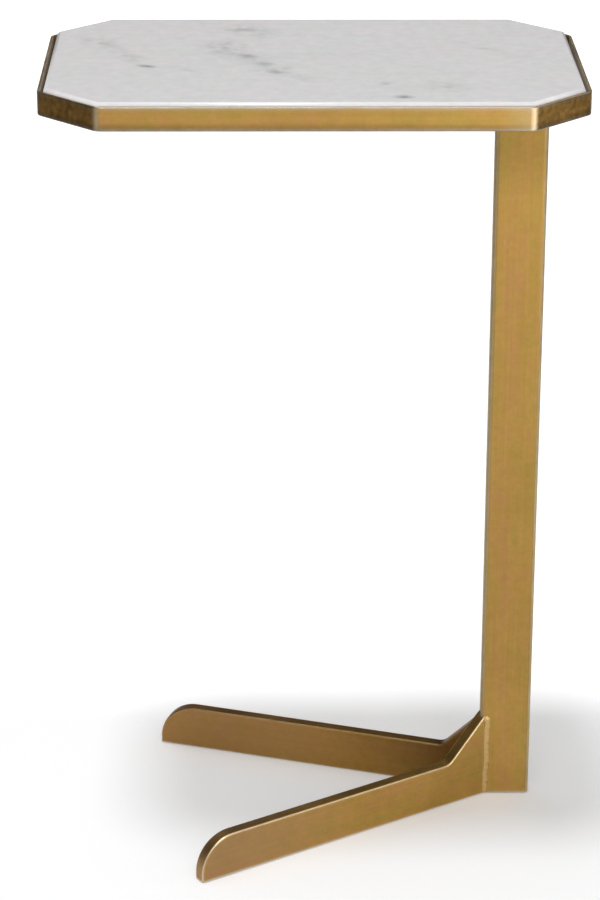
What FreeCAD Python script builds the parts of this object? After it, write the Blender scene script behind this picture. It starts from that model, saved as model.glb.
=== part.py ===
import FreeCAD, Part
import math
import os

os.makedirs("parts", exist_ok=True)

# C-shaped side table in millimetres. The origin is on the floor under the middle of the post,
# +X points to the closed side of the C, +Y to the back and +Z up.

# Whole table
table_height = 610.0
top_length = 400.0
top_depth = 254.0
corner_cut = 44.0              # each leg of a 45 degree cut corner
post_end_gap = 23.0            # from the post to the closed end of the top

# Slab, its soft setting pads and the tray that holds them
slab_thickness = 16.0
slab_proud = 2.7               # how far the slab stands above the rim
slab_bevel = 2.3
slab_gap = 0.2                 # between slab and rim, along the long sides and the cut corners
slab_end_gap = 2.9             # and at the two ends
slab_pad_thickness = 1.5
slab_pad_radius = 8.0
slab_pad_columns = 4
slab_pad_rows = 2
rim_thickness = 2.0
rim_edge_radius = 0.9          # outside
rim_inner_edge_radius = 0.25
rim_corner_radius = 9.0        # outside, where two bars meet
tray_floor_thickness = 3.0

# Tapped plate under the tray, and the post's flange that is screwed to it
mount_length = 112.0
mount_depth = 150.0
mount_thickness = 5.0
mount_corner_radius = 8.0
mount_end_gap = 3.0            # to the rim at the closed end
flange_length = 64.0
flange_depth = 120.0
flange_thickness = 5.0
flange_corner_radius = 8.0
screw_spacing_x = 40.0
screw_spacing_y = 92.0

# Screws, their washers and the holes they pass
screw_radius = 3.0
screw_end_gap = 1.1            # from the screw's end to the tray
screw_tip_chamfer = 0.6
screw_head_radius = 5.25
screw_head_height = 3.3
screw_head_dome = 2.6
socket_width = 4.0
socket_depth = 1.9
washer_radius = 6.0
washer_thickness = 1.6
lock_washer_radius = 5.4
lock_washer_thickness = 1.5
lock_washer_split = 0.8
screw_hole_clearance = 0.3     # radial, in flange and washers
thread_clearance = 0.05        # radial, in the tapped plate

# Post tube and the insert in its foot
post_width = 40.0
post_depth = 15.0
post_wall = 2.0
post_corner_radius = 3.5
plug_height = 14.0
plug_wall = 2.0
plug_floor = 3.0
plug_clearance = 0.1

# Leg plates
front_leg_length = 267.0       # from the inner corner of the V to the toe
rear_leg_length = 271.0
leg_height = 34.5
leg_thickness = 10.5
front_leg_angle = 33.0         # degrees between the leg and the table's long axis
rear_leg_angle = 18.5
vee_setback = 3.5              # from the post to the inner corner of the V
toe_radius = 29.0
front_heel_run = 33.0          # from the inner corner of the V to the foot of the heel's slope
rear_heel_run = 28.3
heel_angle = 45.0
heel_lap = 3.9                 # how far the heel reaches round the post's corner
heel_fillet_radius = 10.0
leg_edge_radius = 1.4

# Weld beads
heel_bead_radius = 2.8
heel_bead_inset = 0.5          # from the end of the heel's lap
heel_bead_rise = 0.3           # its middle, in front of the post's face
vee_bead_radius = 2.6
vee_bead_offset = 3.6
vee_bead_rise_share = 0.6      # of the rear heel's run
flange_bead = 3.0
flange_bead_slope_share = 0.9

# Glides between metal and floor
glide_thickness = 1.0
toe_pad_length = 26.0
toe_pad_width = 7.0
toe_pad_corner_share = 0.45    # of its width
toe_pad_setback = 5.0
heel_pad_margin = 3.0          # inside the post's outline

overrun = 5.0                  # how far a cutting shape reaches past what it cuts
match = 0.001                  # two places closer than this are the same

# Heights, from the top down
rim_top = table_height - slab_proud
slab_bottom = table_height - slab_thickness
tray_floor_top = slab_bottom - slab_pad_thickness
tray_bottom = tray_floor_top - tray_floor_thickness
mount_bottom = tray_bottom - mount_thickness
flange_bottom = mount_bottom - flange_thickness
washer_bottom = flange_bottom - washer_thickness
screw_seat = washer_bottom - lock_washer_thickness
screw_length = tray_bottom - screw_end_gap - screw_seat

# Places along the table
post_left = -post_width / 2
top_end = post_width / 2 + post_end_gap
top_middle = top_end - top_length / 2
mount_end = top_end - rim_thickness - mount_end_gap
vee_corner = FreeCAD.Vector(post_left - vee_setback, 0, glide_thickness)
vee_turn = (front_leg_angle - rear_leg_angle) / 2

up = FreeCAD.Vector(0, 0, 1)
screw_places = [
    (side_x * screw_spacing_x / 2, side_y * screw_spacing_y / 2)
    for side_x in (-1, 1)
    for side_y in (-1, 1)
]


def save(shape, node):
    shape.exportStep("parts/" + node + ".step")


def prism(points, height):
    face = Part.Face(Part.makePolygon(points + points[:1]))
    return face.extrude(up * height)


def uprights(shape):
    return [edge for edge in shape.Edges if abs(edge.tangentAt(edge.FirstParameter).z) > 1 - match]


def rounded_block(length, depth, radius, bottom, height, middle_x=0.0, middle_y=0.0):
    block = Part.makeBox(
        length, depth, height,
        FreeCAD.Vector(middle_x - length / 2, middle_y - depth / 2, bottom),
    )
    return block.makeFillet(radius, uprights(block))


def edges_at(shape, height):
    return [
        edge for edge in shape.Edges
        if all(abs(vertex.Z - height) < match for vertex in edge.Vertexes)
    ]


def top_outline(inset, height, end_inset=None):
    """The top's corners, moved in by inset, from the front edge's left end and round to the right."""
    half_length = top_length / 2 - (inset if end_inset is None else end_inset)
    half_depth = top_depth / 2 - inset
    corner_reach = (top_length + top_depth) / 2 - corner_cut - inset * math.sqrt(2)
    near_end = corner_reach - half_depth
    near_side = corner_reach - half_length
    corners = [
        (-near_end, -half_depth),
        (near_end, -half_depth),
        (half_length, -near_side),
        (half_length, near_side),
        (near_end, half_depth),
        (-near_end, half_depth),
        (-half_length, near_side),
        (-half_length, -near_side),
    ]
    return [FreeCAD.Vector(top_middle + x, y, height) for x, y in corners]


def rim_outside(rim_height):
    """The rim's outer form, with rounded corners and eased top and bottom edges."""
    form = prism(top_outline(0, tray_bottom), rim_height)
    form = form.makeFillet(rim_corner_radius, uprights(form))
    return form.makeFillet(rim_edge_radius, edges_at(form, tray_bottom) + edges_at(form, rim_top))


def rim_bars():
    """Eight flat bars, mitred where they meet."""
    rim_height = rim_top - tray_bottom
    outer = top_outline(0, tray_bottom)
    inner = top_outline(rim_thickness, tray_bottom)
    bore = prism(inner, rim_height)
    ring = rim_outside(rim_height).cut(bore)
    inner_edges = [edge for edge in edges_at(ring, rim_top) if bore.distToShape(edge)[0] < match]
    ring = ring.makeFillet(rim_inner_edge_radius, inner_edges)
    mitres = [(far - near).normalize() * overrun for far, near in zip(outer, inner)]
    sides = (
        "front", "corner_front_right", "right", "corner_back_right",
        "back", "corner_back_left", "left", "corner_front_left",
    )
    for place, side in enumerate(sides):
        after = (place + 1) % len(sides)
        sector = prism([
            inner[place] - mitres[place],
            outer[place] + mitres[place],
            outer[after] + mitres[after],
            inner[after] - mitres[after],
        ], rim_height)
        save(ring.common(sector), "rim_" + side)


def marble_top():
    outline = top_outline(rim_thickness + slab_gap, slab_bottom, rim_thickness + slab_end_gap)
    slab = prism(outline, slab_thickness)
    save(slab.makeChamfer(slab_bevel, edges_at(slab, table_height)), "marble_top")


def slab_pads():
    pads = []
    for column in range(slab_pad_columns):
        for row in range(slab_pad_rows):
            x = top_middle + top_length * ((column + 0.5) / slab_pad_columns - 0.5)
            y = top_depth * ((row + 0.5) / slab_pad_rows - 0.5)
            base = FreeCAD.Vector(x, y, tray_floor_top)
            pads.append(Part.makeCylinder(slab_pad_radius, slab_pad_thickness, base))
    save(Part.makeCompound(pads), "slab_pads")


def tray_floor():
    save(prism(top_outline(rim_thickness, tray_bottom), tray_floor_thickness), "tray_floor")


def drilled(plate, bottom, thickness, hole_radius):
    for x, y in screw_places:
        base = FreeCAD.Vector(x, y, bottom - overrun)
        plate = plate.cut(Part.makeCylinder(hole_radius, thickness + 2 * overrun, base))
    return plate


def mount_plate():
    plate = rounded_block(
        mount_length, mount_depth, mount_corner_radius, mount_bottom, mount_thickness,
        mount_end - mount_length / 2,
    )
    save(drilled(plate, mount_bottom, mount_thickness, screw_radius + thread_clearance), "mount_plate")


def post_flange():
    plate = rounded_block(
        flange_length, flange_depth, flange_corner_radius, flange_bottom, flange_thickness,
    )
    hole_radius = screw_radius + screw_hole_clearance
    save(drilled(plate, flange_bottom, flange_thickness, hole_radius), "post_flange")


def hexagon(width, height):
    corner_radius = width / math.sqrt(3)
    return [
        FreeCAD.Vector(
            corner_radius * math.cos(math.radians(60 * corner)),
            corner_radius * math.sin(math.radians(60 * corner)),
            height,
        )
        for corner in range(6)
    ]


def screw():
    """A button-head screw with a hexagon socket, head down, its seat at height zero."""
    head = Part.makeCylinder(screw_head_radius, screw_head_height, FreeCAD.Vector(0, 0, -screw_head_height))
    head = head.makeFillet(screw_head_dome, edges_at(head, -screw_head_height)[:1])
    head = head.cut(prism(hexagon(socket_width, -screw_head_height - overrun), socket_depth + overrun))
    shank = Part.makeCylinder(screw_radius, screw_length)
    shank = shank.makeChamfer(screw_tip_chamfer, edges_at(shank, screw_length)[:1])
    return head.fuse(shank).removeSplitter()


def washer(radius, thickness):
    hole = Part.makeCylinder(
        screw_radius + screw_hole_clearance, thickness + 2 * overrun, FreeCAD.Vector(0, 0, -overrun),
    )
    return Part.makeCylinder(radius, thickness).cut(hole)


def lock_washer():
    gap = Part.makeBox(
        lock_washer_radius + overrun, lock_washer_split, lock_washer_thickness + 2 * overrun,
        FreeCAD.Vector(0, -lock_washer_split / 2, -overrun),
    )
    return washer(lock_washer_radius, lock_washer_thickness).cut(gap)


def at_screws(shape, height):
    copies = []
    for x, y in screw_places:
        copies.append(shape.translated(FreeCAD.Vector(x, y, height)))
    return Part.makeCompound(copies)


def fasteners():
    save(at_screws(screw(), screw_seat), "flange_screws")
    save(at_screws(lock_washer(), screw_seat), "flange_lock_washers")
    save(at_screws(washer(washer_radius, washer_thickness), washer_bottom), "flange_washers")


def post_body(bottom, top):
    """The post's outer form between two heights."""
    return rounded_block(post_width, post_depth, post_corner_radius, bottom, top - bottom)


def post_bore(bottom, top, clearance):
    """The form that fills the tube, drawn in by the clearance."""
    inset = post_wall + clearance
    return rounded_block(
        post_width - 2 * inset, post_depth - 2 * inset, post_corner_radius - post_wall, bottom, top - bottom,
    )


def post_tube():
    bore = post_bore(glide_thickness - overrun, flange_bottom + overrun, 0)
    save(post_body(glide_thickness, flange_bottom).cut(bore), "post_tube")


def post_plug():
    plug = post_bore(glide_thickness, glide_thickness + plug_height, plug_clearance)
    inset = post_wall + plug_clearance + plug_wall
    hollow = Part.makeBox(
        post_width - 2 * inset, post_depth - 2 * inset, plug_height,
        FreeCAD.Vector(inset - post_width / 2, inset - post_depth / 2, glide_thickness + plug_floor),
    )
    save(plug.cut(hollow), "post_plug")


def flange_weld():
    bead_bottom = flange_bottom - flange_bead
    bead = rounded_block(
        post_width + 2 * flange_bead, post_depth + 2 * flange_bead,
        post_corner_radius + flange_bead, bead_bottom, flange_bead,
    )
    bead = bead.makeChamfer(flange_bead * flange_bead_slope_share, edges_at(bead, bead_bottom))
    save(bead.cut(post_body(bead_bottom - overrun, flange_bottom + overrun)), "flange_weld")


def heel_top(heel_run):
    return glide_thickness + leg_height + heel_run * math.tan(math.radians(heel_angle))


def leg_profile(leg_length, heel_run):
    """The leg's side view: length along X, height along Z, with the inner corner of the V at zero."""
    slope = math.radians(heel_angle)
    tangent = heel_fillet_radius * math.tan(slope / 2)
    toe_middle = FreeCAD.Vector(leg_length - toe_radius, 0, leg_height - toe_radius)
    fillet_middle = FreeCAD.Vector(heel_run + tangent, 0, leg_height + heel_fillet_radius)
    hidden_end = vee_setback + leg_thickness + overrun

    def on_toe(angle):
        return toe_middle + FreeCAD.Vector(math.cos(angle), 0, math.sin(angle)) * toe_radius

    def on_fillet(angle):
        return fillet_middle - FreeCAD.Vector(math.sin(angle), 0, math.cos(angle)) * heel_fillet_radius

    toe_bottom = FreeCAD.Vector(leg_length, 0, 0)
    heel_bottom = FreeCAD.Vector(-hidden_end, 0, 0)
    heel_peak = FreeCAD.Vector(-hidden_end, 0, leg_height + (heel_run + hidden_end) * math.tan(slope))
    edges = [
        Part.LineSegment(toe_bottom, on_toe(0)),
        Part.Arc(on_toe(0), on_toe(math.pi / 4), on_toe(math.pi / 2)),
        Part.LineSegment(on_toe(math.pi / 2), on_fillet(0)),
        Part.Arc(on_fillet(0), on_fillet(slope / 2), on_fillet(slope)),
        Part.LineSegment(on_fillet(slope), heel_peak),
        Part.LineSegment(heel_peak, heel_bottom),
        Part.LineSegment(heel_bottom, toe_bottom),
    ]
    return Part.Face(Part.Wire([edge.toShape() for edge in edges]))


def eased_plate(outward, leg_length, heel_run):
    """The leg as a flat plate with eased upper edges, its inner face on the XZ plane."""
    plate = leg_profile(leg_length, heel_run).extrude(FreeCAD.Vector(0, outward * leg_thickness, 0))

    def is_upper_edge(edge):
        first, last = edge.Vertexes[0], edge.Vertexes[-1]
        along_face = abs(first.Y - last.Y) < match
        on_floor = max(first.Z, last.Z) < match
        at_hidden_end = max(first.X, last.X) < -leg_thickness
        return along_face and not on_floor and not at_hidden_end

    return plate.makeFillet(leg_edge_radius, [edge for edge in plate.Edges if is_upper_edge(edge)])


def leg(outward, angle, leg_length, heel_run):
    """One leg plate, cut to fit round the post's corner and mitred to the other leg."""
    plate = eased_plate(outward, leg_length, heel_run)
    plate.rotate(FreeCAD.Vector(0, 0, 0), up, 180 + outward * angle)
    plate.translate(vee_corner)
    reach = leg_length + leg_thickness
    tall = heel_top(heel_run) + leg_length
    other_side = Part.makeBox(
        2 * reach, reach, tall,
        FreeCAD.Vector(-reach, 0 if outward > 0 else -reach, -overrun),
    )
    other_side.rotate(FreeCAD.Vector(0, 0, 0), up, vee_turn)
    other_side.translate(FreeCAD.Vector(vee_corner.x, vee_corner.y, 0))
    past_lap = Part.makeBox(reach, 2 * reach, tall, FreeCAD.Vector(post_left + heel_lap, -reach, -overrun))
    return plate.cut(other_side).cut(past_lap).cut(post_body(glide_thickness - overrun, tall))


def heel_bead(plate, side, heel_run):
    """A bead in the groove between the end of the heel's lap and the post's face."""
    base = FreeCAD.Vector(
        post_left + heel_lap + heel_bead_inset, side * (post_depth / 2 + heel_bead_rise), glide_thickness,
    )
    bead_top = heel_top(heel_run)
    bead = Part.makeCylinder(heel_bead_radius, bead_top - glide_thickness, base)
    bead = bead.makeFillet(heel_bead_radius / 2, edges_at(bead, bead_top)[:1])
    return bead.cut(post_body(glide_thickness - overrun, bead_top + overrun)).cut(plate)


def vee_bead(front, rear):
    """A bead in the inner corner of the V."""
    turn = math.radians(vee_turn)
    axis = FreeCAD.Vector(-math.cos(turn), -math.sin(turn), 0)
    height = leg_height + rear_heel_run * vee_bead_rise_share
    bead = Part.makeCylinder(vee_bead_radius, height, vee_corner + axis * vee_bead_offset)
    return bead.cut(front).cut(rear)


def toe_pad(outward, angle, leg_length):
    pad = rounded_block(
        toe_pad_length, toe_pad_width, toe_pad_width * toe_pad_corner_share, 0, glide_thickness,
        leg_length - toe_pad_setback - toe_pad_length / 2, outward * leg_thickness / 2,
    )
    pad.rotate(FreeCAD.Vector(0, 0, 0), up, 180 + outward * angle)
    pad.translate(FreeCAD.Vector(vee_corner.x, vee_corner.y, 0))
    return pad


def base():
    front = leg(1, front_leg_angle, front_leg_length, front_heel_run)
    rear = leg(-1, rear_leg_angle, rear_leg_length, rear_heel_run)
    save(front, "front_leg")
    save(rear, "rear_leg")
    save(heel_bead(front, -1, front_heel_run), "front_heel_weld")
    save(heel_bead(rear, 1, rear_heel_run), "rear_heel_weld")
    save(vee_bead(front, rear), "vee_weld")
    save(toe_pad(1, front_leg_angle, front_leg_length), "front_toe_pad")
    save(toe_pad(-1, rear_leg_angle, rear_leg_length), "rear_toe_pad")


def heel_pad():
    pad = rounded_block(
        post_width - 2 * heel_pad_margin, post_depth - 2 * heel_pad_margin, post_corner_radius,
        0, glide_thickness,
    )
    save(pad, "heel_pad")


rim_bars()
marble_top()
slab_pads()
tray_floor()
mount_plate()
post_flange()
fasteners()
post_tube()
post_plug()
flange_weld()
base()
heel_pad()
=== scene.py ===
import math
import random

import bmesh
import bpy
from mathutils import Euler, Matrix, Vector


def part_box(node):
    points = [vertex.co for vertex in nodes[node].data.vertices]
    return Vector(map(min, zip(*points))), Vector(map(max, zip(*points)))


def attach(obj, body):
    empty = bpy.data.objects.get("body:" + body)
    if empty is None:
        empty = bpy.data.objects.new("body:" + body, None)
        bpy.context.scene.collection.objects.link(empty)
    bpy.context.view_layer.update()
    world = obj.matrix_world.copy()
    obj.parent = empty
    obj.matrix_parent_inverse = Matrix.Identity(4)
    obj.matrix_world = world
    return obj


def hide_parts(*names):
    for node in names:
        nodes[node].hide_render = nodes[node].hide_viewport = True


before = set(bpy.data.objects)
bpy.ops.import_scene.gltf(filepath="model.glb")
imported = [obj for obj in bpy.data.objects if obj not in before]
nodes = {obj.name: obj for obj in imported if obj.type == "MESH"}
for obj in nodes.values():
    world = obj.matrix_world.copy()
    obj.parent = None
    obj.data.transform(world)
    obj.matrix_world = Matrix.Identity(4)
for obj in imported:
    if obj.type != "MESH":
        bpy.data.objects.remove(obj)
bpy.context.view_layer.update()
millimetre = 0.001
print("frame loaded with", len(nodes), "nodes")


# camera at the photograph's place
photoCamera = {
    "place": (-0.19397, -2.26171, 1.18834),
    "pitch": 0.3752,          # radians below level
    "yaw": 0.0124,            # towards +X
    "roll": 0.0027,
    "lens": 124.66,           # mm on the long side of the picture
    "sensor": 36.0,
    "clip": (0.05, 60.0),
}


def addCamera(settings):
    cameraData = bpy.data.cameras.new("photoCamera")
    cameraData.sensor_width = settings["sensor"]
    cameraData.lens = settings["lens"]
    cameraData.clip_start, cameraData.clip_end = settings["clip"]
    camera = bpy.data.objects.new("photoCamera", cameraData)
    bpy.context.scene.collection.objects.link(camera)
    turn = Euler((math.pi / 2 - settings["pitch"], 0.0, -settings["yaw"])).to_matrix()
    turn = turn @ Matrix.Rotation(settings["roll"], 3, "Z")
    camera.matrix_world = Matrix.Translation(settings["place"]) @ turn.to_4x4()
    bpy.context.scene.camera = camera


addCamera(photoCamera)
print("camera placed")


# small helpers for node trees
# a noise in the settings below is its scale, detail, roughness and distortion
noiseSpan = (0.3, 0.7)        # most values of a noise lie between these


def feed(tree, node, values):
    # another node's socket is linked, and a number, place or colour is set
    for name, value in values.items():
        socket = node.inputs[name]
        if isinstance(value, bpy.types.NodeSocket):
            tree.links.new(value, socket)
        elif socket.type == "RGBA":
            socket.default_value = (*value, 1.0)
        else:
            socket.default_value = value


def addNode(tree, kind, values=None, **options):
    made = tree.nodes.new(kind)
    for option, value in options.items():
        setattr(made, option, value)
    feed(tree, made, values or {})
    return made


def clearTree(owner):
    owner.use_nodes = True
    owner.node_tree.nodes.clear()
    return owner.node_tree


def startMaterial(name):
    material = bpy.data.materials.new(name)
    tree = clearTree(material)
    shader = addNode(tree, "ShaderNodeBsdfPrincipled")
    addNode(tree, "ShaderNodeOutputMaterial", {"Surface": shader.outputs["BSDF"]})
    return material, tree, shader


def startGroup(name, inputs, outputs):
    # what goes in is named with its kind of socket, and what comes out is a number
    group = bpy.data.node_groups.new(name, "ShaderNodeTree")
    for socket, kind in inputs.items():
        group.interface.new_socket(socket, in_out="INPUT", socket_type=kind)
    for socket in outputs:
        group.interface.new_socket(socket, in_out="OUTPUT", socket_type="NodeSocketFloat")
    return group, group.nodes.new("NodeGroupInput").outputs, group.nodes.new("NodeGroupOutput")


def placeGroup(tree, group, values):
    return addNode(tree, "ShaderNodeGroup", values, node_tree=group).outputs


def objectPlace(tree):
    return addNode(tree, "ShaderNodeTexCoord").outputs["Object"]


def addMath(tree, operation, *values, clamp=False):
    made = addNode(
        tree, "ShaderNodeMath", dict(enumerate(values)), operation=operation, use_clamp=clamp,
    )
    return made.outputs["Value"]


def addVectorMath(tree, operation, *values):
    made = addNode(tree, "ShaderNodeVectorMath", dict(enumerate(values)), operation=operation)
    return made.outputs["Value" if operation in ("DOT_PRODUCT", "LENGTH") else "Vector"]


def addMix(tree, share, first, second, blend="MIX"):
    values = {0: share, 6: first, 7: second}    # the sockets for colours
    return addNode(tree, "ShaderNodeMix", values, data_type="RGBA", blend_type=blend).outputs[2]


def addShade(tree, colour, tone):
    grey = addNode(tree, "ShaderNodeCombineColor", {0: tone, 1: tone, 2: tone}).outputs[0]
    return addMix(tree, 1.0, colour, grey, "MULTIPLY")


def addRange(tree, value, low, high, newLow, newHigh):
    values = {0: value, 1: low, 2: high, 3: newLow, 4: newHigh}
    return addNode(tree, "ShaderNodeMapRange", values).outputs[0]


def addSwing(tree, value, span, depth, middle=1.0):
    # to either side of the middle, by a share of it
    return addRange(tree, value, *span, middle * (1.0 - depth), middle * (1.0 + depth))


def addNoise(tree, vector, scale, detail, roughness=0.5, distortion=0.0, output="Fac"):
    return addNode(tree, "ShaderNodeTexNoise", {
        "Vector": vector, "Scale": scale, "Detail": detail,
        "Roughness": roughness, "Distortion": distortion,
    }).outputs[output]


def addMapping(tree, vector, scale=(1, 1, 1), rotation=(0, 0, 0), location=(0, 0, 0)):
    turn = [math.radians(angle) for angle in rotation]
    values = {"Vector": vector, "Location": location, "Rotation": turn, "Scale": scale}
    return addNode(tree, "ShaderNodeMapping", values).outputs["Vector"]


def addSplit(tree, vector):
    return addNode(tree, "ShaderNodeSeparateXYZ", {0: vector}).outputs


def addBump(tree, height, strength, distance):
    values = {"Height": height, "Strength": strength, "Distance": distance}
    return addNode(tree, "ShaderNodeBump", values).outputs["Normal"]


# effects that the brass pieces share
brushMarks = {
    "streaks": (0.45, 3.0, 0.6),
    "hairlines": (2.4, 2.0, 0.65),
}
patinaClouds = {
    "cloud": (26.0, 4.0, 0.55, 0.4),
    "mottle": (130.0, 3.0, 0.6),
    "bands": (1.0, 2.0, 0.5, 0.2),
    "bandStretch": (7, 70, 70),
    "bandShare": 0.55,        # of the cast, and patches make the rest
    "patches": (75.0, 3.0, 0.6),
    "patchShift": (3.1, 1.7, 0.4),
}
# worn edges, whose paler colour also serves as a painted highlight
edgeWearAndSheen = {
    "samples": 8,
    "sharp": (0.999, 0.90),   # rounded beside true normal, from no wear to full wear
    "side": (0.10, 0.35),     # the same for a normal that leaves a side face
    "broad": (0.98, 0.85),    # and for one that leaves the broad face
    "patches": (70.0, 3.0, 0.6),
    "patchSpan": (0.3, 0.6),
    "patchWear": (0.6, 1.0),
}


def makeBrushGroup(settings):
    # the brush runs along the vector's X
    group, entry, leave = startGroup("brushedGrain", {
        "Vector": "NodeSocketVector", "Across": "NodeSocketFloat", "Along": "NodeSocketFloat",
    }, ["Streaks", "Hairlines"])
    stretch = addNode(group, "ShaderNodeCombineXYZ", {
        0: entry["Along"], 1: entry["Across"], 2: entry["Across"],
    }).outputs[0]
    scaled = addVectorMath(group, "MULTIPLY", entry["Vector"], stretch)
    feed(group, leave, {
        "Streaks": addNoise(group, scaled, *settings["streaks"]),
        "Hairlines": addNoise(group, scaled, *settings["hairlines"]),
    })
    return group


def makePatinaGroup(settings):
    # cloud and mottle for the tone, cast for the swing between olive and rose
    group, entry, leave = startGroup("brassPatina", {
        "Vector": "NodeSocketVector", "Along": "NodeSocketVector",
    }, ["Cloud", "Mottle", "Cast"])
    stretched = addMapping(group, entry["Along"], settings["bandStretch"])
    bands = addNoise(group, stretched, *settings["bands"])
    shifted = addMapping(group, entry["Vector"], location=settings["patchShift"])
    patches = addNoise(group, shifted, *settings["patches"])
    bands = addMath(group, "MULTIPLY", bands, settings["bandShare"])
    patches = addMath(group, "MULTIPLY", patches, 1.0 - settings["bandShare"])
    feed(group, leave, {
        "Cloud": addNoise(group, entry["Vector"], *settings["cloud"]),
        "Mottle": addNoise(group, entry["Vector"], *settings["mottle"]),
        "Cast": addMath(group, "ADD", bands, patches),
    })
    return group


def makeEdgeGroup(settings):
    # 1 on an edge, 0 on a flat: on sharp edges a rounded normal leaves the true one,
    # and on rounded edges the normal is neither along the piece's face nor square to it
    # the rub is wear, and its paler colour is also a painted highlight
    group, entry, leave = startGroup("edgeRubAndSheen", {
        "Vector": "NodeSocketVector", "Width": "NodeSocketFloat", "Across": "NodeSocketVector",
    }, ["RubAndSheen"])
    rounded = addNode(group, "ShaderNodeBevel", {"Radius": entry["Width"]}, samples=settings["samples"])
    normal = addNode(group, "ShaderNodeNewGeometry").outputs["Normal"]
    facing = addVectorMath(group, "DOT_PRODUCT", rounded.outputs["Normal"], normal)
    sharp = addRange(group, facing, *settings["sharp"], 0.0, 1.0)
    lean = addMath(group, "ABSOLUTE", addVectorMath(group, "DOT_PRODUCT", normal, entry["Across"]))
    offSide = addRange(group, lean, *settings["side"], 0.0, 1.0)
    offBroad = addRange(group, lean, *settings["broad"], 0.0, 1.0)
    edge = addMath(group, "MAXIMUM", sharp, addMath(group, "MULTIPLY", offSide, offBroad))
    patches = addNoise(group, entry["Vector"], *settings["patches"])
    wornAndSheen = addRange(group, patches, *settings["patchSpan"], *settings["patchWear"])
    feed(group, leave, {"RubAndSheen": addMath(group, "MULTIPLY", edge, wornAndSheen, clamp=True)})
    return group


brushedGrain = makeBrushGroup(brushMarks)
brassPatina = makePatinaGroup(patinaClouds)
edgeRubAndSheen = makeEdgeGroup(edgeWearAndSheen)
print("shared effects made")


# brass finish, brushed along each piece
brassFinish = {
    "dark": (0.385, 0.220, 0.053),
    "middle": (0.480, 0.283, 0.072),
    "light": (0.545, 0.345, 0.104),
    "middleShare": 0.66,
    "olive": (0.405, 0.290, 0.066),
    "oliveSpan": (0.49, 0.36),
    "rose": (0.500, 0.258, 0.098),
    "roseSpan": (0.50, 0.64),
    "castShare": 0.65,
    "tone": 1.0,
    "mottleDepth": 0.05,
    "speckles": (330.0, 2.0),
    "speckleDepth": 0.03,
    "brushAcross": 900.0,
    "brushAlong": 14.0,
    "streakSpan": (0.25, 0.75),
    "streakDepth": 0.06,
    "lightAndShadeRuns": (),               # an axis, where a run of painted shade or light starts and ends on it, its tone at both ends
    "paintedFade": None,             # the same, but a colour and its share at the end, for a painted fade
    "weld": (0.600, 0.420, 0.190),
    "weldShare": 0.0,
    # paler brass on worn edges, also a painted highlight along them
    "rubbedAndSheen": (0.660, 0.530, 0.340),
    "rubAndSheenWidth": 2.8 * millimetre,
    "rubShare": 0.85,
    "rubRoughness": -0.06,    # added on the rubbed edges that carry the painted highlight
    "roughness": (0.40, 0.54),
    "hairlineSpan": (0.2, 0.8),
    "hairlineRoughness": 0.05,
    "waves": (34.0, 2.0),
    "waveHeight": 3.0,        # beside a hairline's
    "bump": 0.35,
    "bumpDepth": 0.05 * millimetre,
}


def makeBrass(name, turn, face, **changes):
    # turn brings the brushing onto X, and face is square to the piece's broad face
    settings = {**brassFinish, **changes}
    material, tree, shader = startMaterial(name)
    place = objectPlace(tree)
    along = addMapping(tree, place, rotation=turn)
    brush = placeGroup(tree, brushedGrain, {
        "Vector": along, "Across": settings["brushAcross"], "Along": settings["brushAlong"],
    })
    patina = placeGroup(tree, brassPatina, {"Vector": place, "Along": along})
    rub = placeGroup(tree, edgeRubAndSheen, {
        "Vector": place, "Width": settings["rubAndSheenWidth"], "Across": face,
    })["RubAndSheen"]

    # broad tone, then two faint casts
    cloud = patina["Cloud"]
    share = addRange(tree, cloud, *noiseSpan, 0.0, 1.0)
    colour = addMix(tree, share, settings["dark"], settings["light"])
    colour = addMix(tree, settings["middleShare"], colour, settings["middle"])
    for cast in ("rose", "olive"):
        share = addRange(tree, patina["Cast"], *settings[cast + "Span"], 0.0, settings["castShare"])
        colour = addMix(tree, share, colour, settings[cast])

    # brush marks, mottle and speckle, and the runs of painted shade and light along the piece
    marks = addSwing(tree, brush["Streaks"], settings["streakSpan"], settings["streakDepth"])
    mottle = addSwing(tree, patina["Mottle"], noiseSpan, settings["mottleDepth"], settings["tone"])
    speckles = addNoise(tree, place, *settings["speckles"])
    speckles = addSwing(tree, speckles, noiseSpan, settings["speckleDepth"])
    marks = addMath(tree, "MULTIPLY", addMath(tree, "MULTIPLY", marks, mottle), speckles)
    axes = addSplit(tree, place)
    for axis, *run in settings["lightAndShadeRuns"]:
        marks = addMath(tree, "MULTIPLY", marks, addRange(tree, axes[axis], *run))
    colour = addShade(tree, colour, marks)
    if settings["paintedFade"]:
        axis, start, end, faded, share = settings["paintedFade"]
        colour = addMix(tree, addRange(tree, axes[axis], start, end, 0.0, share), colour, faded)
    if settings["weldShare"]:
        colour = addMix(tree, settings["weldShare"], colour, settings["weld"])
    # worn edges painted paler, which also paints their highlight
    wornAndSheen = addMath(tree, "MULTIPLY", rub, settings["rubShare"])
    colour = addMix(tree, wornAndSheen, colour, settings["rubbedAndSheen"])

    swing = settings["hairlineRoughness"]
    hairlines = addRange(tree, brush["Hairlines"], *settings["hairlineSpan"], -swing, swing)
    rough = addMath(tree, "ADD", addRange(tree, cloud, *noiseSpan, *settings["roughness"]), hairlines)
    rough = addMath(tree, "ADD", rough, addMath(tree, "MULTIPLY", rub, settings["rubRoughness"]))
    waves = addNoise(tree, place, *settings["waves"])
    waves = addMath(tree, "MULTIPLY", waves, settings["waveHeight"])
    height = addMath(tree, "ADD", waves, brush["Hairlines"])
    feed(tree, shader, {
        "Base Color": colour,
        "Metallic": 1.0,
        "Roughness": rough,
        "Normal": addBump(tree, height, settings["bump"], settings["bumpDepth"]),
    })
    return material


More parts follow.
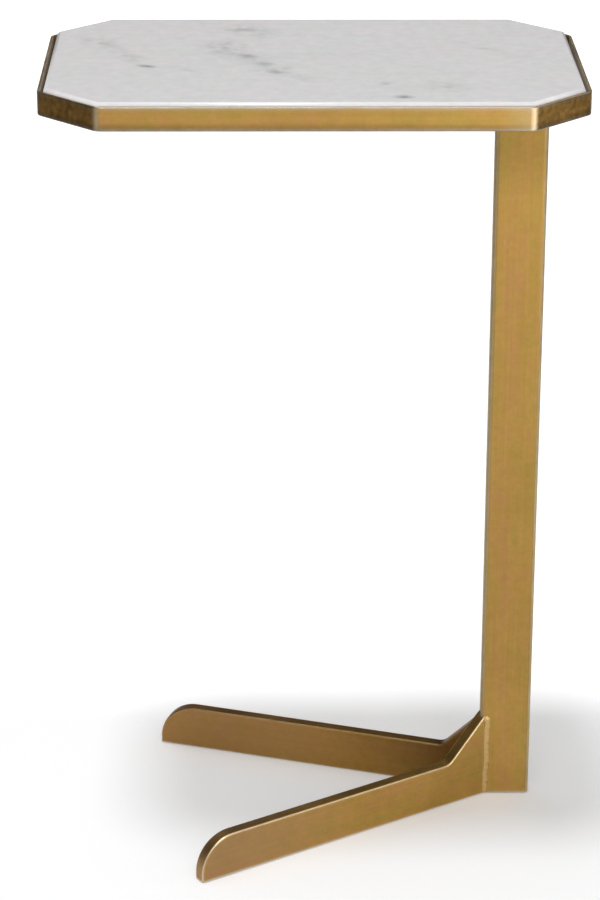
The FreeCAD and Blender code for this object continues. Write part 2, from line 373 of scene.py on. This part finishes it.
# what differs from that finish on each piece
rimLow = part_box("rim_front")[0]
postLow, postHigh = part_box("post_tube")
warmer = {
    "middle": (0.492, 0.262, 0.066),
    "olive": (0.430, 0.262, 0.064),
    "light": (0.555, 0.322, 0.098),
}
rimEdge = {
    "rubAndSheenWidth": 5.5 * millimetre,
    # a wide greyish rub on the rim's edges, also a painted highlight along them
    "rubbedAndSheen": (0.410, 0.400, 0.340),
    "rubShare": 0.5,
    # painted shade: darker along the rim's lower edge
    "lightAndShadeRuns": [("Z", rimLow.z, rimLow.z + 6.5 * millimetre, 0.42, 1.0)],
}
rimLength = {
    **rimEdge,
    "tone": 0.79,
    # painted highlight: paler towards the right-hand corner
    "paintedFade": ("X", -26.0 * millimetre, -4.0 * millimetre, (0.410, 0.335, 0.195), 0.36),
}
risingCorner = {**rimEdge, **warmer, "tone": 0.77, "speckles": (230.0, 2.0), "speckleDepth": 0.32}
# painted shade: the falling corners a darker copy of the rising ones
shadedFallingCorner = {**risingCorner, "tone": 0.72}
# painted highlight: the rim's ends a lighter copy of its finish, with a paler rub
litRimEnd = {**rimEdge, "tone": 1.2, "rubbedAndSheen": (0.700, 0.630, 0.500)}
innerWallShade = {                 # painted shade: the ends' inner walls are greyer than their outer faces
    "start": 1.2 * millimetre,
    "end": 1.7 * millimetre,
    "colour": (0.620, 0.595, 0.540),
    "share": 0.75,
}
postEdge = {
    "tone": 0.765,
    "rubAndSheenWidth": 4.0 * millimetre,
    # a greyer rub on the post's edges, also a painted highlight along them
    "rubbedAndSheen": (0.530, 0.440, 0.275),
    "rubRoughness": 0.25,
    "lightAndShadeRuns": [
        # painted shade just under the rim and over the upper part, painted light near the foot
        ("Z", postHigh.z - 75.0 * millimetre, postHigh.z - 40.0 * millimetre, 1.0, 0.80),
        ("Z", 200.0 * millimetre, 500.0 * millimetre, 1.0, 0.95),
        ("Z", 30.0 * millimetre, 120.0 * millimetre, 1.24, 1.0),
        # painted shade where the right-hand edge begins to turn, then a painted highlight on the edge
        # itself
        ("X", postHigh.x - 3.6 * millimetre, postHigh.x - 2.2 * millimetre, 1.0, 0.74),
        ("X", postHigh.x - 1.4 * millimetre, postHigh.x - 0.6 * millimetre, 1.0, 1.35),
    ],
}
frontLeg = {
    # painted shade: darker towards the toe, and a little darker towards the heel
    "lightAndShadeRuns": [
        ("X", -220.0 * millimetre, -70.0 * millimetre, 0.74, 0.97),
        ("X", -100.0 * millimetre, -60.0 * millimetre, 1.0, 0.94),
    ],
    # painted shade: duller and less yellow towards the toe
    "paintedFade": ("X", -120.0 * millimetre, -200.0 * millimetre, (0.360, 0.214, 0.140), 0.36),
}
shadedRearLeg = {
    # painted shade: a darker, warmer copy of the brass with a fainter rub, darker again at the toe and
    # much darker towards the heel, and less yellow towards the toe
    **warmer,
    "tone": 0.79,
    "rubShare": 0.35,
    "lightAndShadeRuns": [
        ("X", -245.0 * millimetre, -180.0 * millimetre, 0.85, 1.0),
        ("X", -155.0 * millimetre, -60.0 * millimetre, 1.0, 0.71),
    ],
    "paintedFade": ("X", -120.0 * millimetre, -170.0 * millimetre, (0.330, 0.195, 0.100), 0.28),
}


def wallShadeFade(outerX, inward):
    # painted shade that greys an end from just inside its outer face
    start, end = (outerX + inward * innerWallShade[depth] for depth in ("start", "end"))
    return ("X", start, end, innerWallShade["colour"], innerWallShade["share"])


def legFace(degrees):
    # square to a leg that these degrees bring onto X
    angle = math.radians(degrees)
    return (math.sin(angle), math.cos(angle), 0.0)


# nodes, the turn of the brushing, the broad face and what differs
upward = (0, 0, 1)
frontLegTurn, rearLegTurn = -33.0, 18.5
leftEnd = {**litRimEnd, "paintedFade": wallShadeFade(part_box("rim_left")[0].x, 1)}
rightEnd = {**litRimEnd, "paintedFade": wallShadeFade(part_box("rim_right")[1].x, -1)}
risingCorners = ["rim_corner_front_right", "rim_corner_back_left"]
fallingCorners = ["rim_corner_front_left", "rim_corner_back_right"]
brassPieces = {
    "brassLengthwise": (["rim_front", "rim_back"], (0, 0, 0), upward, rimLength),
    "brassLeftEnd": (["rim_left"], (0, 0, -90), upward, leftEnd),
    "brassRightEnd": (["rim_right"], (0, 0, -90), upward, rightEnd),
    "brassRisingCorner": (risingCorners, (0, 0, -45), upward, risingCorner),
    "brassFallingCorner": (fallingCorners, (0, 0, 45), upward, shadedFallingCorner),
    "brassUnderside": (["tray_floor", "mount_plate", "post_flange"], (0, 0, 0), upward, {}),
    "brassUpright": (["post_tube"], (0, 90, 0), (0, 1, 0), postEdge),
    "brassFrontLeg": (["front_leg"], (0, 0, frontLegTurn), legFace(frontLegTurn), frontLeg),
    "brassRearLeg": (["rear_leg"], (0, 0, rearLegTurn), legFace(rearLegTurn), shadedRearLeg),
}


def finishNodes(names, material):
    for name in names:
        materials = nodes[name].data.materials
        materials.clear()
        materials.append(material)


for brassName, (brassNodes, brassTurn, brassFace, brassChanges) in brassPieces.items():
    finishNodes(brassNodes, makeBrass(brassName, brassTurn, brassFace, **brassChanges))
print("brass finish on", sum(len(row[0]) for row in brassPieces.values()), "nodes")


# weld beads: overlapping ripples along each joint, melted into one skin
weldBeads = {
    "ripple": (2.7, 1.15, 1.7),   # half sizes across, out of and along the joint, mm
    "ball": (16, 10),             # segments and rings of a ripple
    "pitch": 1.1 * millimetre,
    "unevenness": 0.05,
    "stray": 0.28 * millimetre,   # sideways, from ripple to ripple
    "follow": 0.78,               # share of the last ripple's stray that stays
    "voxel": 0.35 * millimetre,
    "smoothing": 9,
    "smoothingShare": 0.5,
    "seed": 11,
    "heelInset": 2.1 * millimetre,    # from the right-hand side of a heel weld's solid
    "frontEnds": (-0.5, 0.7),     # how far a bead strays at foot and head, mm
    "rearEnds": (-0.5, -0.5),
    "frontTurn": 16.5,            # degrees between the post's face and the bead
    "rearTurn": -9.2,
    "blob": (3.0, 1.25, 3.6),     # half sizes where the weld ends at the heel's top, mm
    "blobShift": 0.8 * millimetre,
    "veeHalf": 2.3,               # half sizes across the other two beads, mm
    "flangeHalf": 2.4,
    "flangeBend": 4.0 * millimetre,   # round the post's corners
    "flangeStand": 0.4 * millimetre,  # off the post's faces
}
weldMaterial = makeBrass("brassWeld", (0, 90, 0), (0, 0, 0), weldShare=0.6, rubShare=0.2)
weldDraw = random.Random(weldBeads["seed"])


def applyModifier(piece, kind, **options):
    bpy.context.view_layer.objects.active = piece
    modifier = piece.modifiers.new(kind.lower(), kind)
    for option, value in options.items():
        setattr(modifier, option, value)
    bpy.ops.object.modifier_apply(modifier=modifier.name)


def makeBead(name, node, ripples):
    # each ripple is a place, a turn about Z and its half sizes
    settings = weldBeads
    segments, rings = settings["ball"]
    bpy.ops.object.select_all(action="DESELECT")
    bpy.ops.mesh.primitive_uv_sphere_add(segments=segments, ring_count=rings, radius=1.0)
    first = bpy.context.object
    first.name = name
    copies = [first]
    for _ in ripples[1:]:
        copy = first.copy()
        copy.data = first.data.copy()
        bpy.context.scene.collection.objects.link(copy)
        copy.select_set(True)
        copies.append(copy)
    lean = 0.0
    for copy, (place, turn, sizes) in zip(copies, ripples):
        lean = lean * settings["follow"] + settings["stray"] * weldDraw.uniform(-1.0, 1.0)
        swell = 1.0 + settings["unevenness"] * weldDraw.uniform(-1.0, 1.0)
        copy.location = place + Vector((lean, 0.0, 0.0))
        copy.rotation_euler = (0.0, 0.0, turn)
        copy.scale = [size * swell * millimetre for size in sizes]
    bpy.context.view_layer.objects.active = first
    bpy.ops.object.join()
    bpy.ops.object.transform_apply(location=True, rotation=True, scale=True)
    bead = bpy.context.object
    applyModifier(bead, "REMESH", mode="VOXEL", voxel_size=settings["voxel"])
    applyModifier(bead, "SMOOTH", factor=settings["smoothingShare"], iterations=settings["smoothing"])
    bpy.ops.object.shade_smooth()
    bead.data.materials.clear()
    bead.data.materials.append(weldMaterial)
    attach(bead, "root")
    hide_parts(node)


def uprightRipples(bottom, top, turn, sizes):
    run = top - bottom
    count = max(2, round(run.length / weldBeads["pitch"]))
    return [(bottom + run * (step / count), turn, sizes) for step in range(count + 1)]


def heelBead(name, node, face, ends, degrees):
    # on the post's face, over the end of the heel's lap
    low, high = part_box(node)
    along = weldBeads["ripple"][2] * millimetre
    middle = high.x - weldBeads["heelInset"]
    bottom = Vector((middle + ends[0] * millimetre, face, low.z + along))
    top = Vector((middle + ends[1] * millimetre, face, high.z - along))
    turn = math.radians(degrees)
    ripples = uprightRipples(bottom, top, turn, weldBeads["ripple"])
    head = top - Vector((weldBeads["blobShift"], 0.0, 0.0))
    ripples.append((head, turn, weldBeads["blob"]))
    makeBead(name, node, ripples)


def veeBead(name, node):
    low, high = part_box(node)
    half, along = weldBeads["veeHalf"], weldBeads["ripple"][2]
    bottom = Vector(((low.x + high.x) / 2, (low.y + high.y) / 2, low.z + along * millimetre))
    top = Vector((bottom.x, bottom.y, high.z - along * millimetre))
    makeBead(name, node, uprightRipples(bottom, top, 0.0, (half, half, along)))


def flangeBead(name, node):
    # round the post, close under the flange, as four sides and the quarter turns between them
    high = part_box(node)[1]
    sizes = (weldBeads["ripple"][2], weldBeads["flangeHalf"], weldBeads["flangeHalf"])
    bend = weldBeads["flangeBend"]
    halfX = postHigh.x + weldBeads["flangeStand"] - bend
    halfY = postHigh.y + weldBeads["flangeStand"] - bend
    starts = ((-halfX, -halfY), (halfX, -halfY), (halfX, halfY), (-halfX, halfY))
    lengths = (2 * halfX, 2 * halfY, 2 * halfX, 2 * halfY)
    bendCount = max(2, round(bend * math.pi / 2 / weldBeads["pitch"]))
    ripples = []
    for side, ((startX, startY), length) in enumerate(zip(starts, lengths)):
        angle = side * math.pi / 2
        start = Vector((startX, startY, high.z))
        forward = Vector((math.cos(angle), math.sin(angle), 0.0))
        outward = Vector((math.sin(angle), -math.cos(angle), 0.0))
        sideCount = round(length / weldBeads["pitch"])
        for step in range(sideCount):
            place = start + forward * (length * step / sideCount) + outward * bend
            ripples.append((place, angle, sizes))
        for step in range(bendCount):
            turn = angle + math.pi / 2 * step / bendCount
            reach = Vector((math.sin(turn), -math.cos(turn), 0.0)) * bend
            ripples.append((start + forward * length + reach, turn, sizes))
    makeBead(name, node, ripples)


heelBead("frontHeelBead", "front_heel_weld", postLow.y, weldBeads["frontEnds"], weldBeads["frontTurn"])
heelBead("rearHeelBead", "rear_heel_weld", postHigh.y, weldBeads["rearEnds"], weldBeads["rearTurn"])
veeBead("veeBead", "vee_weld")
flangeBead("flangeBead", "flange_weld")
print("weld beads laid")


# small parts
smallFinishes = {
    "zincPlate": {
        "base": (0.50, 0.49, 0.46), "tint": (0.40, 0.39, 0.36), "metallic": 1.0,
        "roughness": (0.28, 0.42), "speckles": (220.0, 4.0, 0.6), "bump": 0.15,
        "nodes": ["flange_screws", "flange_lock_washers", "flange_washers"],
    },
    "darkGlide": {
        "base": (0.120, 0.100, 0.080), "tint": (0.070, 0.058, 0.046), "metallic": 0.0,
        "roughness": (0.75, 0.95), "speckles": (900.0, 4.0, 0.6), "bump": 0.6,
        "nodes": ["front_toe_pad", "rear_toe_pad", "heel_pad"],
    },
    "plugPlastic": {
        "base": (0.050, 0.050, 0.050), "tint": (0.035, 0.035, 0.036), "metallic": 0.0,
        "roughness": (0.45, 0.62), "speckles": (700.0, 4.0, 0.6), "bump": 0.3,
        "nodes": ["post_plug"],
    },
    "clearPad": {
        "base": (0.75, 0.75, 0.72), "tint": (0.66, 0.66, 0.62), "metallic": 0.0,
        "roughness": (0.30, 0.45), "speckles": (160.0, 4.0, 0.6), "bump": 0.1,
        "nodes": ["slab_pads"],
    },
}
smallTintSpan = (0.35, 0.65)
smallBumpDepth = 0.1 * millimetre


def makeSmallFinish(name, settings):
    material, tree, shader = startMaterial(name)
    speckles = addNoise(tree, objectPlace(tree), *settings["speckles"])
    tint = addRange(tree, speckles, *smallTintSpan, 0.0, 1.0)
    feed(tree, shader, {
        "Base Color": addMix(tree, tint, settings["base"], settings["tint"]),
        "Metallic": settings["metallic"],
        "Roughness": addRange(tree, speckles, *noiseSpan, *settings["roughness"]),
        "Normal": addBump(tree, speckles, settings["bump"], smallBumpDepth),
    })
    return material


for finishName, finishSettings in smallFinishes.items():
    finishNodes(finishSettings["nodes"], makeSmallFinish(finishName, finishSettings))
print("small parts finished")


# marble
marbleFinish = {
    "stone": (0.826, 0.812, 0.813),
    "cloud": (0.794, 0.780, 0.790),
    "clouds": (1.0, 5.0, 0.55, 0.5),
    "cloudStretch": (7, 14, 7),
    "cloudSpan": (0.35, 0.7),
    "cloudShare": 0.85,
    "blush": (0.842, 0.796, 0.800),
    "blushSpan": (0.5, 0.7),
    "moss": (0.798, 0.806, 0.790),
    "mossSpan": (0.5, 0.3),
    "patches": (22.0, 3.0, 0.55),
    "patchShift": (1.3, 0.2, 0.0),
    "patchShare": 0.8,
    "vein": (0.440, 0.440, 0.455),
    "veinGrain": (0.15, 1.0),
    "veinTurn": (0, 0, 60),   # degrees, brings the veins' run onto X
    "drift": 16.0 * millimetre,
    "wander": (30.0, 5.0, 0.8),
    "bands": (1.0, 2.0),
    "bandStretch": (4, 16, 4),
    "bandHalf": 0.08,         # half width of a thin vein, in the noise's values
    "breaks": (16.0, 2.0),
    "breakSpan": (0.45, 0.7),
    "thinShare": 0.06,
    "fleck": (0.270, 0.275, 0.280),
    "fleckGrain": (0.75, 1.0),
    "blotches": (95.0, 2.0),
    "blotchSpan": (0.38, 0.62),
    "overlap": 1.5,           # length of a stroke beside its part of the vein
    "falloff": 1.2,
    "crystals": (700.0, 2.0),
    "crystalDepth": 0.01,
    "mottle": (105.0, 2.0),
    "mottleTone": (0.962, 1.035),
    "roughness": (0.16, 0.26),
    "specular": 0.35,
    "polish": (320.0, 3.0),
    "bump": 0.12,
    "bumpDepth": 0.05 * millimetre,
}

# faint veins, as runs of places in mm with a width and a strength
marbleVeins = [
    ([(-328, 70), (-305, 28)], 38, 0.46),
    ([(-305, 28), (-284, -12)], 28, 0.48),
    ([(-212, 104), (-207, 78)], 44, 0.62),
    ([(-200, 92), (-192, 62)], 40, 0.40),
    ([(-222, 56), (-223, 8)], 46, 0.72),
    ([(-214, 18), (-193, -18), (-178, -46)], 42, 0.50),
    ([(-178, -46), (-150, -62)], 30, 0.26),
    ([(-112, -58), (-98, -88)], 26, 0.20),
    ([(-78, -70), (-48, -88)], 40, 0.40),
    ([(-62, 56), (-26, 30), (4, -2)], 28, 0.16),
]

# and flecks: place, length and width in mm, degrees, strength
marbleFlecks = [
    ((-280, -22), 20, 12, -20, 1.0),
    ((-250, -34), 18, 14, -30, 0.20),
    ((-206, 7), 26, 19, -30, 0.66),
    ((-193, -14), 22, 16, -50, 0.44),
    ((-182, -38), 22, 16, -45, 0.40),
    ((-106, -73), 13, 9, -30, 0.32),
    ((-94, -109), 23, 15, -15, 1.0),
    ((-26, 30), 17, 12, -10, 0.32),
]


def makeStrokeGroup(falloff):
    group, entry, leave = startGroup("marbleStroke", {
        "Vector": "NodeSocketVector", "Middle": "NodeSocketVector",
        "Turn": "NodeSocketFloat", "Stretch": "NodeSocketVector",
    }, ["Mask"])
    shifted = addVectorMath(group, "SUBTRACT", entry["Vector"], entry["Middle"])
    turned = addNode(group, "ShaderNodeVectorRotate", rotation_type="Z_AXIS")
    feed(group, turned, {"Vector": shifted, "Angle": entry["Turn"]})
    scaled = addVectorMath(group, "MULTIPLY", turned.outputs[0], entry["Stretch"])
    ball = addNode(group, "ShaderNodeTexGradient", {"Vector": scaled}, gradient_type="SPHERICAL")
    feed(group, leave, {"Mask": addMath(group, "POWER", ball.outputs["Fac"], falloff)})
    return group


def veinStrokes(overlap):
    # each run of a vein becomes one long stroke
    strokes = []
    for places, width, strength in marbleVeins:
        for (startX, startY), (endX, endY) in zip(places, places[1:]):
            middle = ((startX + endX) / 2, (startY + endY) / 2)
            length = math.hypot(endX - startX, endY - startY) * overlap
            degrees = math.degrees(math.atan2(endY - startY, endX - startX))
            strokes.append((middle, length, width, degrees, strength))
    return strokes


def makeMarble(name, settings):
    material, tree, shader = startMaterial(name)
    place = objectPlace(tree)

    # the veins read a place that wanders sideways
    wander = addNoise(tree, place, *settings["wander"], output="Color")
    wander = addVectorMath(tree, "SUBTRACT", wander, (0.5, 0.5, 0.5))
    reach = (settings["drift"], settings["drift"], 0.0)
    drifted = addVectorMath(tree, "MULTIPLY_ADD", wander, reach, place)

    stretched = addMapping(tree, place, settings["cloudStretch"], settings["veinTurn"])
    clouds = addNoise(tree, stretched, *settings["clouds"])
    share = addRange(tree, clouds, *settings["cloudSpan"], 0.0, settings["cloudShare"])
    tone = addMix(tree, share, settings["stone"], settings["cloud"])
    shifted = addMapping(tree, place, location=settings["patchShift"])
    patches = addNoise(tree, shifted, *settings["patches"])
    for cast in ("blush", "moss"):
        share = addRange(tree, patches, *settings[cast + "Span"], 0.0, settings["patchShare"])
        tone = addMix(tree, share, tone, settings[cast])

    # thin veins where a drifting noise crosses its middle
    stretched = addMapping(tree, drifted, settings["bandStretch"], settings["veinTurn"])
    bands = addNoise(tree, stretched, *settings["bands"])
    offMiddle = addMath(tree, "ABSOLUTE", addMath(tree, "SUBTRACT", bands, 0.5))
    ridge = addRange(tree, offMiddle, 0.0, settings["bandHalf"], 1.0, 0.0)
    breaks = addNoise(tree, place, *settings["breaks"])
    share = addRange(tree, breaks, *settings["breakSpan"], 0.0, settings["thinShare"])
    tone = addMix(tree, addMath(tree, "MULTIPLY", ridge, share), tone, settings["vein"])

    # the drawn veins and flecks
    strokeGroup = makeStrokeGroup(settings["falloff"])
    blotches = addNoise(tree, place, *settings["blotches"])
    for kind, strokes in (("vein", veinStrokes(settings["overlap"])), ("fleck", marbleFlecks)):
        grain = addRange(tree, blotches, *settings["blotchSpan"], *settings[kind + "Grain"])
        for middle, length, width, degrees, strength in strokes:
            mask = placeGroup(tree, strokeGroup, {
                "Vector": drifted,
                "Middle": (middle[0] * millimetre, middle[1] * millimetre, 0.0),
                "Turn": math.radians(-degrees),
                "Stretch": (2 / (length * millimetre), 2 / (width * millimetre), 0.0),
            })["Mask"]
            share = addMath(tree, "MULTIPLY", addMath(tree, "MULTIPLY", mask, grain), strength)
            tone = addMix(tree, share, tone, settings[kind])

    # fine grain, and a nearly smooth polish
    crystals = addNoise(tree, place, *settings["crystals"])
    crystals = addSwing(tree, crystals, noiseSpan, settings["crystalDepth"])
    mottle = addNoise(tree, place, *settings["mottle"])
    mottle = addRange(tree, mottle, *noiseSpan, *settings["mottleTone"])
    polish = addNoise(tree, place, *settings["polish"])
    feed(tree, shader, {
        "Base Color": addShade(tree, tone, addMath(tree, "MULTIPLY", crystals, mottle)),
        "Roughness": addRange(tree, clouds, *noiseSpan, *settings["roughness"]),
        "Specular IOR Level": settings["specular"],
        "Normal": addBump(tree, polish, settings["bump"], settings["bumpDepth"]),
    })
    return material


marbleMaterial = makeMarble("polishedMarble", marbleFinish)
print("marble made")


# the slab, its corners cut off and its upper edge rounded over
slabShape = {
    "cornerCut": 40.01 * millimetre,
    "arris": 2.3 * millimetre,
    "arrisSteps": 5,
    "arrisProfile": 0.32,     # between a flat bevel at 0.25 and a round at 0.5
    "underEdge": 0.8 * millimetre,
    "underSteps": 2,
    "underProfile": 0.5,
    "flatRing": 0.8 * millimetre,
    "flatNormal": 0.999,      # of a face that counts as level
    "sharpest": 40.0,         # degrees that still shade smooth
    "near": 0.1 * millimetre,
}


def selectEdges(piece, isWanted):
    bpy.ops.mesh.select_all(action="DESELECT")
    shell = bmesh.from_edit_mesh(piece.data)
    for edge in shell.edges:
        edge.select_set(isWanted(edge.verts[0].co, edge.verts[1].co))
    bmesh.update_edit_mesh(piece.data)


def bevelEdges(offset, steps, profile):
    bpy.ops.mesh.bevel(offset=offset, segments=steps, profile=profile, affect="EDGES")


def makeSlab(settings):
    low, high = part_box("marble_top")
    near = settings["near"]
    bpy.ops.object.select_all(action="DESELECT")
    bpy.ops.mesh.primitive_cube_add(size=1.0, location=(low + high) / 2)
    slab = bpy.context.object
    slab.name = "marbleSlab"
    slab.scale = high - low
    bpy.ops.object.transform_apply(location=True, rotation=True, scale=True)
    bpy.ops.object.mode_set(mode="EDIT")
    bpy.ops.mesh.select_mode(type="EDGE")
    selectEdges(slab, lambda first, last: abs(first.z - last.z) > near)
    bpy.ops.mesh.bevel(offset=settings["cornerCut"], segments=1, affect="EDGES")
    selectEdges(slab, lambda first, last: min(first.z, last.z) > high.z - near)
    bevelEdges(settings["arris"], settings["arrisSteps"], settings["arrisProfile"])
    selectEdges(slab, lambda first, last: max(first.z, last.z) < low.z + near)
    bevelEdges(settings["underEdge"], settings["underSteps"], settings["underProfile"])
    # a narrow ring keeps the shading of the two large faces flat
    bpy.ops.mesh.select_mode(type="FACE")
    bpy.ops.mesh.select_all(action="DESELECT")
    shell = bmesh.from_edit_mesh(slab.data)
    for face in shell.faces:
        face.select_set(abs(face.normal.z) > settings["flatNormal"])
    bmesh.update_edit_mesh(slab.data)
    bpy.ops.mesh.inset(thickness=settings["flatRing"], depth=0.0, use_individual=True)
    bpy.ops.object.mode_set(mode="OBJECT")
    bpy.ops.object.shade_smooth_by_angle(angle=math.radians(settings["sharpest"]))
    slab.data.materials.append(marbleMaterial)
    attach(slab, "root")
    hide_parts("marble_top")


makeSlab(slabShape)
print("slab cut and rounded")


# floor, cards, lamps and world
studio = {
    "white": (1.0, 1.0, 1.0),
    "floorSize": 24.0,
    "floorColour": (0.793, 0.80, 0.812),
    "floorRoughness": 0.9,
    "floorLift": 0.225,       # seen by camera and reflections only
    "backLift": 0.26,         # painted light: more of it behind the table, which hides the shadow's tail there
    "backLiftRun": (0.13, 0.235),
    "farLift": 0.32,          # and far from it on all sides
    "farLiftRun": (2.2, 4.2),
    "dome": 0.38,             # light from a sky that is seen as white
    "lamps": {
        # strength, angle, degrees that it leans from the left and from the front
        "keyLamp": (1.17, 9.0, 6.2, 4.5),
        "backLamp": (0.32, 24.0, 11.0, -9.0),
    },
    "cards": {
        # middle, the place that it faces, width, height, brightness, whether it lights too
        "leftCard": ((-1.45, 0.3, 2.00), (0.0, 0.3, 2.00), 6.6, 4.0, 0.045, False),
        "rightCard": ((1.20, -0.1, 0.60), (0.0, -0.1, 0.60), 3.0, 1.2, 0.13, False),
        "backCard": ((-0.15, 2.6, 2.05), (-0.15, 0.0, 2.05), 7.0, 4.0, 0.06, False),
        "softbox": ((-0.10, -3.6, 3.10), (-0.10, 0.0, 0.40), 3.4, 2.2, 2.6, True),
        "rightTopCard": ((1.50, -0.1, 1.90), (0.0, -0.1, 0.30), 2.0, 1.0, 1.8, False),
        "cornerCard": ((0.56, -0.87, 0.42), (0.00, -0.12, 0.60), 0.85, 0.45, 4.6, False),
        "leftCornerCard": ((-0.99, -0.74, 0.32), (-0.15, -0.10, 0.45), 0.55, 0.60, 1.0, False),
    },
}


def addSeen(tree):
    # 1 for what the camera sees, also in a reflection or through glass
    rays = addNode(tree, "ShaderNodeLightPath").outputs
    seen = addMath(tree, "MAXIMUM", rays["Is Camera Ray"], rays["Is Glossy Ray"])
    return addMath(tree, "MAXIMUM", seen, rays["Is Transmission Ray"])


def makeFloor(settings):
    material, tree, shader = startMaterial("paleFloor")
    place = objectPlace(tree)
    fullLift = settings["floorLift"] + settings["backLift"]
    # painted light on the floor behind the table, seen by the camera and reflections
    backward = addSplit(tree, place)["Y"]
    lift = addRange(tree, backward, *settings["backLiftRun"], settings["floorLift"], fullLift)
    distance = addVectorMath(tree, "LENGTH", place)
    farLift = addRange(tree, distance, *settings["farLiftRun"], 0.0, settings["farLift"])
    lift = addMath(tree, "ADD", lift, farLift)
    feed(tree, shader, {
        "Base Color": settings["floorColour"],
        "Roughness": settings["floorRoughness"],
        "Specular IOR Level": 0.0,
        "Emission Color": settings["white"],
        "Emission Strength": addMath(tree, "MULTIPLY", addSeen(tree), lift),
    })

    # clear from below, so that the underside can be looked at
    clear = addNode(tree, "ShaderNodeBsdfTransparent")
    behind = addNode(tree, "ShaderNodeNewGeometry")
    choose = addNode(tree, "ShaderNodeMixShader", {
        0: behind.outputs["Backfacing"], 1: shader.outputs["BSDF"], 2: clear.outputs["BSDF"],
    })
    output = next(item for item in tree.nodes if item.type == "OUTPUT_MATERIAL")
    feed(tree, output, {"Surface": choose.outputs[0]})
    bpy.ops.object.select_all(action="DESELECT")
    bpy.ops.mesh.primitive_plane_add(size=settings["floorSize"], location=(0, 0, 0))
    floor = bpy.context.object
    floor.name = "studioFloor"
    floor.data.materials.append(material)


def makeCard(name, middle, faced, width, height, brightness, lights):
    facing = (Vector(faced) - Vector(middle)).to_track_quat("Z", "Y")
    bpy.ops.object.select_all(action="DESELECT")
    bpy.ops.mesh.primitive_plane_add(size=1.0, location=middle, rotation=facing.to_euler())
    card = bpy.context.object
    card.name = name
    card.scale = (width, height, 1.0)
    material = bpy.data.materials.new(name)
    tree = clearTree(material)
    glow = addNode(tree, "ShaderNodeEmission", {"Color": studio["white"], "Strength": brightness})
    addNode(tree, "ShaderNodeOutputMaterial", {"Surface": glow.outputs[0]})
    card.data.materials.append(material)
    card.visible_camera = False    # most cards are seen by reflections only
    card.visible_diffuse = lights
    card.visible_shadow = False


def makeLamp(name, strength, angle, fromLeft, fromFront):
    lamp = bpy.data.lights.new(name, "SUN")
    lamp.energy = strength
    lamp.angle = math.radians(angle)
    sun = bpy.data.objects.new(name, lamp)
    bpy.context.scene.collection.objects.link(sun)
    heading = Vector((math.tan(math.radians(fromLeft)), math.tan(math.radians(fromFront)), -1.0))
    sun.rotation_euler = heading.to_track_quat("-Z", "Y").to_euler()


def makeWorld(settings):
    world = bpy.data.worlds.new("whiteStudio")
    bpy.context.scene.world = world
    tree = clearTree(world)
    strength = addRange(tree, addSeen(tree), 0.0, 1.0, settings["dome"], 1.0)
    sky = addNode(tree, "ShaderNodeBackground", {"Color": settings["white"], "Strength": strength})
    addNode(tree, "ShaderNodeOutputWorld", {"Surface": sky.outputs[0]})


makeFloor(studio)
for cardName, cardRow in studio["cards"].items():
    makeCard(cardName, *cardRow)
for lampName, lampRow in studio["lamps"].items():
    makeLamp(lampName, *lampRow)
makeWorld(studio)
bpy.context.scene.view_settings.view_transform = "Standard"
print("studio set")
